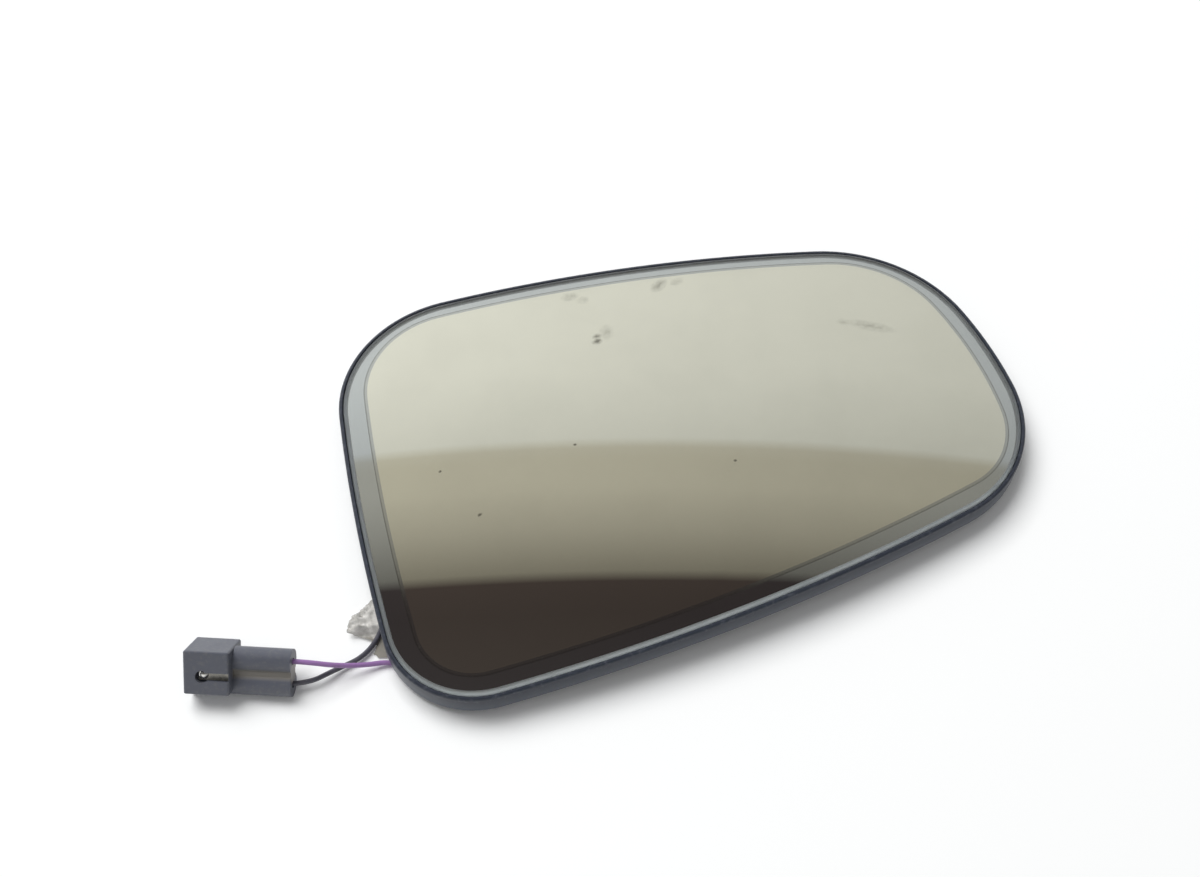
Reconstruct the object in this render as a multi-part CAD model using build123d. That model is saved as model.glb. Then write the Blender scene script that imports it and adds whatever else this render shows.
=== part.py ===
"""Auto-dimming, heated door mirror glass with its lead and plug, lying face up on its back collar.

Millimetres. The origin is the centre of the adjuster collar's mouth, +Z points out of the glass, +X runs along the
mirror to its outer tip and +Y to its upper edge. Every layer is a slice of one family of concentric domes, cut to
an outline of four large arcs with rounded corners.
"""
import math
import os

from build123d import *

# Rim outline: each side is a large arc. Its reach is how far its crown lies from the collar axis, and its facing is
# the direction of that crown in degrees.
TOP_REACH = 63.0
TOP_FACING = 88.2
TOP_RADIUS = 578.0
OUTER_REACH = 92.2
OUTER_FACING = 5.7
OUTER_RADIUS = 125.0
BOTTOM_REACH = 55.0
BOTTOM_FACING = -77.4
BOTTOM_RADIUS = 524.0
INNER_REACH = 91.8
INNER_FACING = 183.3
INNER_RADIUS = 585.0
UPPER_OUTER_CORNER = 41.6
TIP_CORNER = 39.6
LOWER_INNER_CORNER = 24.3
UPPER_INNER_CORNER = 35.7

# Layers, from the table up, on the collar axis
GLASS_RADIUS = 1400.0
COLLAR_HEIGHT = 6.4
PLATE_THICKNESS = 1.6
FOAM_THICKNESS = 0.5
FILM_THICKNESS = 0.2
REAR_GLASS_THICKNESS = 1.35
CELL_GAP = 0.2
FRONT_GLASS_THICKNESS = 1.35
RIM_DROP = 0.4

# Rim frame and the insets of what it holds
RIM_WALL = 1.1
RIM_SKIRT = 0.8
RIM_OUTER_ROUND = 0.6
RIM_INNER_CHAMFER = 0.2
GLASS_EDGE_ROUND = 1.1
GLASS_CLEARANCE = 0.1
SNAP_CLEARANCE = 0.15
HOOK_WIDTH = 9.0
HOOK_REACH = 1.2
HOOK_CLEARANCE = 0.05
HOOK_ANGLES = (20, 60, 100, 140, 170, 255, 290, 330)

# Border ring: its window is moved in from the rim outline by its own amount on each side, and has its own corners
WINDOW_TOP = 4.9
WINDOW_OUTER = 6.0
WINDOW_BOTTOM = 6.3
WINDOW_INNER = 7.3
WINDOW_UPPER_OUTER = 32.0
WINDOW_TIP = 25.0
WINDOW_LOWER_INNER = 16.0
WINDOW_UPPER_INNER = 26.0
SEAL_WIDTH = 1.0
FILM_INSET = 6.0

# Contact strips on the rear glass, with tails for the leads
CLIP_THICKNESS = 0.25
CLIP_FLANGE = 2.6
INNER_CLIP_LENGTH = 56.0
INNER_CLIP_SHIFT = -12.0
LOWER_CLIP_LENGTH = 116.0
LOWER_CLIP_SHIFT = -12.0
TAIL_FROM_END = 4.0
TAIL_INSET = 3.7
TAIL_WIDTH = 3.0
TAIL_THICKNESS = 0.4
TAIL_SLOT_CLEARANCE = 0.5
FERRULE_RADIUS = 0.9
FERRULE_LENGTH = 3.5
FERRULE_DROP = 1.1

# Back plate: snap collar, ribs and terminal windows
COLLAR_BORE = 54.0
COLLAR_WALL = 2.5
LATCH_COUNT = 4
LATCH_WIDTH = 8.0
LATCH_HEIGHT = 2.4
LATCH_FROM_MOUTH = 1.8
RIB_COUNT = 8
RIB_THICKNESS = 1.4
RIB_HEIGHT = 1.6
RIB_INSET = 18.0
TAB_DISTANCE = 46.0
TAB_SPACING = 18.0
TAB_WIDTH = 4.8
TAB_THICKNESS = 0.8
TAB_PROJECTION = 4.8
TAB_FOOT = 5.0
TAB_CLEARANCE = 1.0

# Plug: two barrels side by side through a square block, lying rolled over on its lower barrel and one block edge
PLUG_PLACE = (-110.3, -47.1)
PLUG_TURN = -15.0
PLUG_ROLL = 42.5
BARREL_RADIUS = 3.0
BARREL_PITCH = 5.9
BARREL_LENGTH = 25.0
BLOCK_LENGTH = 11.0
BLOCK_WIDTH = 10.9
BLOCK_DEPTH = 10.0
BLOCK_ABOVE_AXIS = 5.4
BLOCK_BELOW_MIDDLE = 4.7
KEY_CHAMFER = 2.1
BLOCK_ROUND = 0.5
BARREL_WEB = 3.6
CAVITY_RADIUS = 1.7
WIRE_HOLE_RADIUS = 0.9
WIRE_HOLE_LENGTH = 4.0
CONTACT_CLEARANCE = 0.1
CONTACT_RECESS = 3.0
CONTACT_BORE = 0.8
CONTACT_BORE_DEPTH = 8.0
CRIMP_RADIUS = 1.1
CRIMP_LENGTH = 4.0
KEYHOLE_RADIUS = 1.55
KEYHOLE_FROM_MOUTH = 4.4
KEYHOLE_LENGTH = 6.5
KEYHOLE_OFFSET = -0.15
SLOT_WIDTH = 2.1
KEYHOLE_WALL = 1.0
LATCH_SLIT = 1.2
LATCH_SLIT_WIDTH = 5.0
SPRING_THICKNESS = 0.4
SPRING_WIDTH = 2.6
SPRING_DOME = 1.2
SPRING_DOME_RISE = 0.7

# Leads, with the points of their routes between the ferrules and the plug
WIRE_DIAMETER = 1.25
PURPLE_ROUTE = (
    (-62.5, -60.7, 2.4),
    (-71.0, -58.4, 1.6),
    (-78.7, -53.6, 1.0),
    (-86.8, -48.6, 0.78),
    (-93.9, -47.4, 1.9),
    (-100.1, -47.0, 4.3),
)
BLACK_ROUTE = (
    (-87.0, -28.6, 1.75),
    (-88.7, -37.3, 1.25),
    (-93.4, -43.2, 1.1),
    (-100.4, -45.9, 1.4),
)
WIRE_LEAD_IN = 2.8
TURN_SHARE = 0.45

# Film remnant behind the rim: a strip that hangs under the leads, with a torn outer edge. Its section is given by
# distances in from the inner side's crown and below the plate's back, its outline by those distances and by Y.
TAPE_THICKNESS = 0.2
TAPE_SECTION = ((13.1, 1.8), (9.1, 4.7), (5.1, 5.95), (0.1, 6.15), (-5.4, 5.2))
TAPE_OUTLINE = (
    (16.6, -28.0),
    (3.6, -26.5),
    (0.1, -29.0),
    (-1.9, -31.0),
    (-5.1, -35.6),
    (-2.5, -36.4),
    (-0.3, -38.8),
    (0.5, -42.6),
    (4.6, -43.6),
    (16.6, -42.0),
)
TAPE_PATCH = 6.0

# Heights on the collar axis that follow from the layers
PLATE_BACK = COLLAR_HEIGHT
PLATE_FRONT = PLATE_BACK + PLATE_THICKNESS
FILM_BACK = PLATE_FRONT + FOAM_THICKNESS
REAR_BACK = FILM_BACK + FILM_THICKNESS
REAR_FRONT = REAR_BACK + REAR_GLASS_THICKNESS
FRONT_BACK = REAR_FRONT + CELL_GAP
GLASS_FRONT = FRONT_BACK + FRONT_GLASS_THICKNESS
RIM_TOP = GLASS_FRONT - RIM_DROP
RIM_FOOT = PLATE_BACK - RIM_SKIRT
DOME_CENTRE = GLASS_FRONT - GLASS_RADIUS

# Insets that follow from the rim
PLATE_INSET = RIM_WALL + SNAP_CLEARANCE
FRONT_GLASS_INSET = RIM_WALL + GLASS_CLEARANCE
CLIP_INSET = FRONT_GLASS_INSET + CLIP_THICKNESS
REAR_GLASS_INSET = CLIP_INSET + CLIP_THICKNESS

TOP = (TOP_REACH, TOP_FACING, TOP_RADIUS)
OUTER = (OUTER_REACH, OUTER_FACING, OUTER_RADIUS)
BOTTOM = (BOTTOM_REACH, BOTTOM_FACING, BOTTOM_RADIUS)
INNER = (INNER_REACH, INNER_FACING, INNER_RADIUS)
CORNERS = (UPPER_OUTER_CORNER, TIP_CORNER, LOWER_INNER_CORNER, UPPER_INNER_CORNER)
CORNER_WAYS = ((1, 1, 0), (1, -1, 0), (-1, -1, 0), (-1, 1, 0))
WINDOW = (WINDOW_TOP, WINDOW_OUTER, WINDOW_BOTTOM, WINDOW_INNER)
WINDOW_CORNERS = (WINDOW_UPPER_OUTER, WINDOW_TIP, WINDOW_LOWER_INNER, WINDOW_UPPER_INNER)


def on_side(side, inset, shift):
    """Point on a side's arc, moved in by inset and along the arc, counter-clockwise, by shift."""
    reach, facing, radius = side
    facing_rad = math.radians(facing)
    angle = facing_rad + shift / radius
    from_axis = reach - radius
    x = from_axis * math.cos(facing_rad) + (radius - inset) * math.cos(angle)
    y = from_axis * math.sin(facing_rad) + (radius - inset) * math.sin(angle)
    return x, y, math.degrees(angle)


def side_field(side, inset):
    """All that lies behind one side's arc, with the arc moved in by inset."""
    reach, facing, radius = side
    field = Circle(radius - inset) + Pos(-radius, 0) * Rectangle(2 * radius, 2 * (radius - inset))
    return Rot(0, 0, facing) * Pos(reach - radius, 0) * field


def outline(insets, corners):
    """Rim outline moved in by its own amount at the top, outer side, bottom and inner side, with its corners' radii."""
    face = side_field(TOP, insets[0])
    for side, inset in zip((OUTER, BOTTOM, INNER), insets[1:]):
        face = face & side_field(side, inset)
    for radius, towards in zip(corners, CORNER_WAYS):
        corner = face.vertices().sort_by(Axis((0, 0, 0), towards))[-1]
        face = fillet(corner, radius)
    return face


def even(inset):
    """Rim outline moved in by the same amount all round."""
    return outline((inset,) * 4, [radius - inset for radius in CORNERS])


def dome(height):
    """Ball whose top crosses the collar axis at the given height."""
    return Pos(0, 0, DOME_CENTRE) * Rot(90, 0, 0) * Sphere(height - DOME_CENTRE)


def dome_height(height, x, y):
    """Height of a dome over a point away from the collar axis."""
    radius = height - DOME_CENTRE
    return DOME_CENTRE + math.sqrt(radius**2 - x**2 - y**2)


def column(face):
    """Upright prism of a flat shape, tall enough to pass through every layer."""
    return extrude(Pos(0, 0, -GLASS_FRONT) * face, 3 * GLASS_FRONT)


def layer(face, low, high):
    """Slice of a flat shape's prism between two domes."""
    return column(face) & dome(high) - dome(low)


def make_rim_frame():
    """Side wall round the glass, with a rounded top, and hooks that catch behind the back plate."""
    rim = layer(even(0) - even(RIM_WALL), RIM_FOOT, RIM_TOP)
    top_face = rim.faces().filter_by(GeomType.SPHERE).sort_by(Axis.Z)[-1]
    rim = fillet(top_face.outer_wire().edges(), RIM_OUTER_ROUND)
    top_face = rim.faces().filter_by(GeomType.SPHERE).sort_by(Axis.Z)[-1]
    rim = chamfer(top_face.inner_wires()[0].edges(), RIM_INNER_CHAMFER)
    hook_band = even(RIM_WALL / 2) - even(RIM_WALL + HOOK_REACH)
    for angle in HOOK_ANGLES:
        strip = Rot(0, 0, angle) * Pos(OUTER_REACH / 2, 0) * Rectangle(2 * OUTER_REACH, HOOK_WIDTH)
        rim += layer(hook_band & strip, RIM_FOOT, PLATE_BACK - HOOK_CLEARANCE)
    return rim


def make_back_plate():
    """Domed carrier with the adjuster's snap collar, radial and ring ribs, and slots for tails and tabs."""
    plate = layer(even(PLATE_INSET), PLATE_BACK, PLATE_FRONT)
    collar_ring = Circle(COLLAR_BORE / 2 + COLLAR_WALL) - Circle(COLLAR_BORE / 2)
    plate += extrude(collar_ring, PLATE_FRONT) & dome(PLATE_FRONT)
    rib_field = even(RIB_INSET)
    ribs = rib_field - even(RIB_INSET + RIB_THICKNESS)
    spoke_field = rib_field - Circle(COLLAR_BORE / 2 + COLLAR_WALL / 2)
    for k in range(RIB_COUNT):
        angle = (k + 0.5) * 360 / RIB_COUNT
        spoke = Rot(0, 0, angle) * Pos(OUTER_REACH / 2, 0) * Rectangle(OUTER_REACH, RIB_THICKNESS)
        ribs += spoke & spoke_field
    plate += layer(ribs, PLATE_BACK - RIB_HEIGHT, PLATE_BACK + PLATE_THICKNESS / 2)
    latch = Box(COLLAR_BORE + 4 * COLLAR_WALL, LATCH_WIDTH, LATCH_HEIGHT)
    for k in range(LATCH_COUNT // 2):
        plate -= Pos(0, 0, LATCH_FROM_MOUTH + LATCH_HEIGHT / 2) * Rot(0, 0, k * 360 / LATCH_COUNT) * latch
    for side, shift in tail_places():
        slot_long = TAIL_WIDTH + 2 * TAIL_SLOT_CLEARANCE
        slot_wide = TAIL_THICKNESS + 2 * TAIL_SLOT_CLEARANCE
        plate -= column(tail_location(side, shift) * Rectangle(slot_wide, slot_long))
    for place in tab_places():
        plate -= column(place * Rectangle(TAB_THICKNESS + 2 * TAB_CLEARANCE, TAB_WIDTH + 2 * TAB_CLEARANCE))
    return plate


def tail_places():
    """Side and shift along it of the two contact strips' tails."""
    inner_shift = INNER_CLIP_SHIFT + INNER_CLIP_LENGTH / 2 - TAIL_FROM_END
    lower_shift = LOWER_CLIP_SHIFT - LOWER_CLIP_LENGTH / 2 + TAIL_FROM_END
    return (INNER, inner_shift), (BOTTOM, lower_shift)


def tail_location(side, shift):
    """Place of a tail: local +X points out of the rim and +Y runs along the side."""
    x, y, angle = on_side(side, TAIL_INSET, shift)
    return Pos(x, y) * Rot(0, 0, angle)


def tab_places():
    """Places of the two heater tabs, upper then lower."""
    return Pos(TAB_DISTANCE, TAB_SPACING / 2), Pos(TAB_DISTANCE, -TAB_SPACING / 2)


def ferrule_line(side, shift, route):
    """Ends of a tail's ferrule: on the tail, and where its lead begins, in line with the lead's first run."""
    x, y, _ = on_side(side, TAIL_INSET, shift)
    start = Vector(x, y, dome_height(PLATE_BACK, x, y) - FERRULE_DROP)
    along = (Vector(*route[0]) - start).normalized()
    return start, start + along * FERRULE_LENGTH


def make_bus_clip(side, length, shift, tail_shift, route):
    """Strip folded round the rear glass's edge, with a tail through the back plate that ends in a ferrule."""
    x, y, angle = on_side(side, TAIL_INSET, shift)
    field = Pos(x, y) * Rot(0, 0, angle) * Rectangle(4 * TAIL_INSET, length)
    band_outer = even(CLIP_INSET)
    flange = (band_outer - even(REAR_GLASS_INSET + CLIP_FLANGE)) & field
    edge = (band_outer - even(REAR_GLASS_INSET)) & field
    clip = layer(flange, REAR_BACK - CLIP_THICKNESS, REAR_BACK)
    clip += layer(edge, REAR_BACK - CLIP_THICKNESS, REAR_FRONT)
    start, end = ferrule_line(side, tail_shift, route)
    tail = extrude(tail_location(side, tail_shift) * Rectangle(TAIL_THICKNESS, TAIL_WIDTH), 2 * GLASS_FRONT)
    tail = Pos(0, 0, start.Z) * tail & dome(REAR_BACK - CLIP_THICKNESS / 2)
    ferrule_plane = Plane(origin=start, z_dir=end - start)
    return clip + tail + extrude(ferrule_plane * Circle(FERRULE_RADIUS), FERRULE_LENGTH)


def make_front_glass():
    """Front plate of the dimming cell, with a ground, rounded front edge that stands out of the rim."""
    plate = layer(even(FRONT_GLASS_INSET), FRONT_BACK, GLASS_FRONT)
    front_face = plate.faces().filter_by(GeomType.SPHERE).sort_by(Axis.Z)[-1]
    return fillet(front_face.outer_wire().edges(), GLASS_EDGE_ROUND)


def make_adhesive_foam():
    """Foam sheet between the back plate and the heater film, open round the heater tabs."""
    sheet = even(FILM_INSET)
    for place in tab_places():
        sheet -= place * Rectangle(TAB_FOOT + 2 * TAB_CLEARANCE, TAB_WIDTH + 2 * TAB_CLEARANCE)
    return layer(sheet, PLATE_FRONT, FILM_BACK)


def make_heater_tab(place):
    """Blade terminal: a foot on the film's back, and a blade that stands out through the back plate."""
    foot = layer(place * Rectangle(TAB_FOOT, TAB_WIDTH), FILM_BACK - FOAM_THICKNESS / 2, FILM_BACK)
    blade = layer(place * Rectangle(TAB_THICKNESS, TAB_WIDTH), PLATE_BACK - TAB_PROJECTION, FILM_BACK)
    return foot + blade


def plug_location():
    """Plug frame: +X out along the wires, +Y up its near face, +Z out of that face; it rests on the table."""
    turn = math.radians(PLUG_TURN)
    roll = math.radians(PLUG_ROLL)
    along = Vector(math.cos(turn), math.sin(turn), 0)
    across = Vector(-math.sin(turn), math.cos(turn), 0)
    face_out = across * -math.cos(roll) + Vector(0, 0, math.sin(roll))
    barrel_low = BARREL_PITCH / 2 * math.cos(roll) + BARREL_RADIUS
    block_low = BLOCK_BELOW_MIDDLE * math.cos(roll) + (BLOCK_DEPTH - BLOCK_ABOVE_AXIS) * math.sin(roll)
    height = max(barrel_low, block_low - KEY_CHAMFER * min(math.cos(roll), math.sin(roll)))
    return Plane(origin=(*PLUG_PLACE, height), x_dir=along, z_dir=face_out).location


def along_barrel(k, start, radius, length):
    """Rod on barrel k's axis, 0 lower or 1 upper, from start towards the wires, in the plug's frame."""
    plane = Plane(origin=(start, (k - 0.5) * BARREL_PITCH, 0), x_dir=(0, 1, 0), z_dir=(1, 0, 0))
    return extrude(plane * Circle(radius), length)


def keyhole(depth_from, depth):
    """Keyhole slot in the plug's near face, as a solid of the given depth below that face."""
    hole_x = -BARREL_LENGTH + KEYHOLE_FROM_MOUTH
    shape = Pos(hole_x, KEYHOLE_OFFSET) * Circle(KEYHOLE_RADIUS)
    shape += Pos(hole_x + KEYHOLE_LENGTH / 2, KEYHOLE_OFFSET) * Rectangle(KEYHOLE_LENGTH, SLOT_WIDTH)
    return extrude(Pos(0, 0, depth_from - depth) * shape, depth)


def make_plug_housing():
    """Block with a keyed corner round two webbed barrels, with contact cavities, a latch slit and a keyhole slot."""
    block = Box(BLOCK_LENGTH, BLOCK_WIDTH, BLOCK_DEPTH, align=(Align.MIN, Align.MIN, Align.MAX))
    keyed_edge = block.edges().filter_by(Axis.X).sort_by(Axis((0, 0, 0), (0, -1, -1)))[-1]
    block = chamfer(keyed_edge, KEY_CHAMFER)
    block = fillet(block.edges(), BLOCK_ROUND)
    housing = Pos(-BARREL_LENGTH, -BLOCK_BELOW_MIDDLE, BLOCK_ABOVE_AXIS) * block
    housing += Box(BARREL_LENGTH, BARREL_PITCH, BARREL_WEB, align=(Align.MAX, Align.CENTER, Align.CENTER))
    for k in range(2):
        housing += along_barrel(k, -BARREL_LENGTH, BARREL_RADIUS, BARREL_LENGTH)
    for k in range(2):
        housing -= along_barrel(k, -BARREL_LENGTH, CAVITY_RADIUS, BARREL_LENGTH - WIRE_HOLE_LENGTH)
        housing -= along_barrel(k, -WIRE_HOLE_LENGTH, WIRE_HOLE_RADIUS, WIRE_HOLE_LENGTH)
    slit_top = BLOCK_ABOVE_AXIS - KEYHOLE_WALL
    slit_length = KEYHOLE_FROM_MOUTH + KEYHOLE_LENGTH
    slit = Box(slit_length, LATCH_SLIT_WIDTH, LATCH_SLIT, align=(Align.MIN, Align.CENTER, Align.MAX))
    housing -= Pos(-BARREL_LENGTH, KEYHOLE_OFFSET, slit_top) * slit
    housing -= keyhole(BLOCK_ABOVE_AXIS, KEYHOLE_WALL + LATCH_SLIT / 2)
    return plug_location() * housing


def make_plug_spring():
    """Bright latch spring on the floor of the slit, with a button under the keyhole's round end."""
    floor = BLOCK_ABOVE_AXIS - KEYHOLE_WALL - LATCH_SLIT
    hole_x = -BARREL_LENGTH + KEYHOLE_FROM_MOUTH
    length = KEYHOLE_LENGTH + SPRING_DOME
    strip = Box(length, SPRING_WIDTH, SPRING_THICKNESS, align=(Align.MIN, Align.CENTER, Align.MIN))
    spring = Pos(hole_x - SPRING_DOME, KEYHOLE_OFFSET, floor) * strip
    button_curve = (SPRING_DOME**2 + SPRING_DOME_RISE**2) / (2 * SPRING_DOME_RISE)
    centre = Pos(hole_x, KEYHOLE_OFFSET, floor + SPRING_THICKNESS + SPRING_DOME_RISE - button_curve)
    post = Cylinder(SPRING_DOME, 2 * button_curve, align=(Align.CENTER, Align.CENTER, Align.MIN))
    button = centre * Sphere(button_curve) & Pos(hole_x, KEYHOLE_OFFSET, floor) * post
    return plug_location() * (spring + button)


def make_contact(k):
    """Socket contact in barrel k: a body with a bore for the mating pin, and a crimp that meets the wire."""
    body_start = -BARREL_LENGTH + CONTACT_RECESS
    body_length = BARREL_LENGTH - CONTACT_RECESS - WIRE_HOLE_LENGTH - CRIMP_LENGTH
    contact = along_barrel(k, body_start, CAVITY_RADIUS - CONTACT_CLEARANCE, body_length)
    contact += along_barrel(k, body_start + body_length, CRIMP_RADIUS, CRIMP_LENGTH)
    contact -= along_barrel(k, body_start, CONTACT_BORE, CONTACT_BORE_DEPTH)
    return plug_location() * contact


def wire_end(k):
    """Last two points of a lead: just outside barrel k, and at its contact's crimp."""
    plug = plug_location()
    y = (k - 0.5) * BARREL_PITCH
    return [(plug * Pos(x, y, 0)).position for x in (WIRE_LEAD_IN, -WIRE_HOLE_LENGTH)]


def make_wire(name, start, middle, end):
    """Lead as a tube along straight runs joined by arcs as large as the runs allow."""
    points = [start, *(Vector(*p) for p in middle), *end]
    runs = [b - a for a, b in zip(points, points[1:])]
    radii = []
    for before, after in zip(runs, runs[1:]):
        half_turn = math.radians(before.get_angle(after) / 2)
        radii.append(TURN_SHARE * min(before.length, after.length) / math.tan(half_turn))
    path = FilletPolyline(*points, radius=radii)
    tube = sweep(Plane(origin=path @ 0, z_dir=path % 0) * Circle(WIRE_DIAMETER / 2), path=path)
    share = tube.volume / (math.pi * WIRE_DIAMETER**2 / 4 * path.length)
    print(name, "length", round(path.length, 2), "volume over section times length", round(share, 4))
    print("  points", [tuple(round(c, 2) for c in p) for p in points])
    print("  runs", [round(run.length, 1) for run in runs], "radii", [round(r, 1) for r in radii])
    return tube


def make_wire_tape():
    """Bent strip of film: a patch stuck to the back plate, and a torn flap that hangs under the leads."""
    corners = [(inward - INNER_REACH, y) for inward, y in TAPE_OUTLINE]
    bends = [(inward - INNER_REACH, PLATE_BACK - drop) for inward, drop in TAPE_SECTION]
    field = make_face(Polyline(*corners, close=True))
    low_y = min(y for _, y in corners)
    high_y = max(y for _, y in corners)
    section = Plane.XZ * trace(Polyline(*bends), TAPE_THICKNESS)
    flap = Pos(0, high_y, 0) * extrude(section, high_y - low_y)
    patch_field = field & Pos(bends[0][0], (low_y + high_y) / 2) * Rectangle(TAPE_PATCH, high_y - low_y)
    patch = layer(patch_field, PLATE_BACK - TAPE_THICKNESS, PLATE_BACK)
    return (flap & column(field) & dome(PLATE_BACK)) + patch


window = outline(WINDOW, WINDOW_CORNERS)
gel_insets = [inset + SEAL_WIDTH for inset in WINDOW]
gel_window = outline(gel_insets, [radius - SEAL_WIDTH for radius in WINDOW_CORNERS])
tails = tail_places()
inner_ferrule_end = ferrule_line(*tails[0], BLACK_ROUTE)[1]
lower_ferrule_end = ferrule_line(*tails[1], PURPLE_ROUTE)[1]
upper_tab, lower_tab = tab_places()

nodes = {
    "rim_frame": make_rim_frame(),
    "back_plate": make_back_plate(),
    "adhesive_foam": make_adhesive_foam(),
    "heater_film": layer(even(FILM_INSET), FILM_BACK, REAR_BACK),
    "heater_tab_upper": make_heater_tab(upper_tab),
    "heater_tab_lower": make_heater_tab(lower_tab),
    "rear_glass": layer(even(REAR_GLASS_INSET), REAR_BACK, REAR_FRONT),
    "border_ring": layer(even(CLIP_INSET) - window, REAR_FRONT, FRONT_BACK),
    "seal_bead": layer(window - gel_window, REAR_FRONT, FRONT_BACK),
    "dimming_gel": layer(gel_window, REAR_FRONT, FRONT_BACK),
    "front_glass": make_front_glass(),
    "bus_clip_inner": make_bus_clip(INNER, INNER_CLIP_LENGTH, INNER_CLIP_SHIFT, tails[0][1], BLACK_ROUTE),
    "bus_clip_lower": make_bus_clip(BOTTOM, LOWER_CLIP_LENGTH, LOWER_CLIP_SHIFT, tails[1][1], PURPLE_ROUTE),
    "plug_housing": make_plug_housing(),
    "plug_spring": make_plug_spring(),
    "contact_black": make_contact(0),
    "contact_purple": make_contact(1),
    "black_wire": make_wire("black_wire", inner_ferrule_end, BLACK_ROUTE, wire_end(0)),
    "purple_wire": make_wire("purple_wire", lower_ferrule_end, PURPLE_ROUTE, wire_end(1)),
    "wire_tape": make_wire_tape(),
}

os.makedirs("parts", exist_ok=True)
for name, shape in nodes.items():
    export_step(shape, f"parts/{name}.step")
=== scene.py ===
"""Looks of an auto-dimming door mirror glass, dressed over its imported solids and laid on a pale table.

Sizes in the classes are millimetres, as in the part's source, and MM turns them into Blender's metres.
"""

import logging
import math
from collections.abc import Sequence
from dataclasses import dataclass
from enum import Enum
from typing import ClassVar

import bmesh
import bpy
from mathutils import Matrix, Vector, noise


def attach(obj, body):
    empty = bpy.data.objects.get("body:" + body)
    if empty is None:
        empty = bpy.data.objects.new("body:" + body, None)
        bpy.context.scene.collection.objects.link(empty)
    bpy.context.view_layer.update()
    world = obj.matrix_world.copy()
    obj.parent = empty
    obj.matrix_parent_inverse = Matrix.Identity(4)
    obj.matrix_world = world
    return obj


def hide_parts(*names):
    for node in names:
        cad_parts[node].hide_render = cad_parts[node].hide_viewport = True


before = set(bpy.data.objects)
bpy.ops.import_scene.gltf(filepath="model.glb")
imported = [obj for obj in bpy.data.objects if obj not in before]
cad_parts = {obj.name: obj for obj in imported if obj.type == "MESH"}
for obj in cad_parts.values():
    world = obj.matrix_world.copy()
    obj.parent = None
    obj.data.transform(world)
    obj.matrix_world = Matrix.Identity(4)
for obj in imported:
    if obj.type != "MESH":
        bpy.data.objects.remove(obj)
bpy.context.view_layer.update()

LOG = logging.getLogger("mirror_glass")
MM = 0.001
BODY = "root"
# Numbers of the Mix node's colour sockets, whose names aren't unique.
MIX_A = 6
MIX_B = 7
MIX_RESULT = 2
# Where most values of a noise pattern lie.
NOISE_RANGE = (0.3, 0.7)

Point = tuple[float, float, float]
Span = tuple[float, float]
Tree = bpy.types.NodeTree
Socket = bpy.types.NodeSocket
Settings = dict[str | int, object]
Links = dict[str | int, Socket]


class Slot(Enum):
    """Material slots of the part's record, named for the new pieces."""

    MIRROR = "mirror_coating"
    RING = "ring_coating"
    SEAL = "seal"
    GLASS = "clear_glass"
    BLACK_WIRE = "black_sheath"
    PURPLE_WIRE = "purple_sheath"
    TAPE = "tape_film"


def linear(hex_colour: str) -> tuple[float, float, float, float]:
    """Turns an sRGB hex colour into Blender's linear colour.

    Args:
        hex_colour: Six hex digits, such as "8A8F96".

    Returns:
        Linear red, green and blue, with an alpha of 1.
    """
    channels = [int(hex_colour[k:k + 2], 16) / 255 for k in (0, 2, 4)]
    bent = [c / 12.92 if c <= 0.04045 else ((c + 0.055) / 1.055) ** 2.4 for c in channels]
    return (bent[0], bent[1], bent[2], 1.0)


def add_node(
    tree: Tree, kind: str, settings: Settings | None = None, links: Links | None = None
) -> bpy.types.Node:
    """Adds a node, sets its properties and inputs, and links its inputs.

    Args:
        tree: Node tree that takes the node.
        kind: Blender's name of the node type.
        settings: Property names, or names or numbers of inputs, with their values.
        links: Names or numbers of inputs, with the sockets that feed them.

    Returns:
        The new node.
    """
    node = tree.nodes.new(kind)
    for key, value in (settings or {}).items():
        if isinstance(key, str) and hasattr(node, key):
            setattr(node, key, value)
        else:
            node.inputs[key].default_value = value
    for key, socket in (links or {}).items():
        tree.links.new(socket, node.inputs[key])
    return node


def mottle(tree: Tree, place: Socket, size: float, detail: float, roughness: float = 0.5) -> Socket:
    """Adds a noise pattern.

    Args:
        tree: Node tree that takes it.
        place: Object coordinates.
        size: About how wide its features are, in millimetres.
        detail: How many finer levels it has.
        roughness: How strong these are.

    Returns:
        The pattern, from 0 to 1.
    """
    settings = {"Scale": 1.0 / (size * MM), "Detail": detail, "Roughness": roughness}
    return add_node(tree, "ShaderNodeTexNoise", settings, {"Vector": place}).outputs["Fac"]


def ranged(tree: Tree, value: Socket, given: Span, wanted: Span = (0.0, 1.0)) -> Socket:
    """Maps a range of a value to another range, and keeps it inside.

    Args:
        tree: Node tree that takes the step.
        value: The value.
        given: Ends of its range.
        wanted: What they become.

    Returns:
        The mapped value.
    """
    settings = {"From Min": given[0], "From Max": given[1], "To Min": wanted[0], "To Max": wanted[1]}
    return add_node(tree, "ShaderNodeMapRange", settings, {"Value": value}).outputs["Result"]


def maths(tree: Tree, operation: str, *terms: Socket | float, clamp: bool = False) -> Socket:
    """Adds a step of arithmetic.

    Args:
        tree: Node tree that takes the step.
        operation: Blender's name of it.
        terms: Numbers, or the sockets that give them.
        clamp: Whether the result is kept between 0 and 1.

    Returns:
        The result.
    """
    fixed = {k: term for k, term in enumerate(terms) if isinstance(term, float)}
    fed = {k: term for k, term in enumerate(terms) if k not in fixed}
    settings = {"operation": operation, "use_clamp": clamp, **fixed}
    return add_node(tree, "ShaderNodeMath", settings, fed).outputs[0]


def clamped(share: float) -> float:
    """Keeps a share between 0 and 1."""
    return min(1.0, max(0.0, share))


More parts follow.
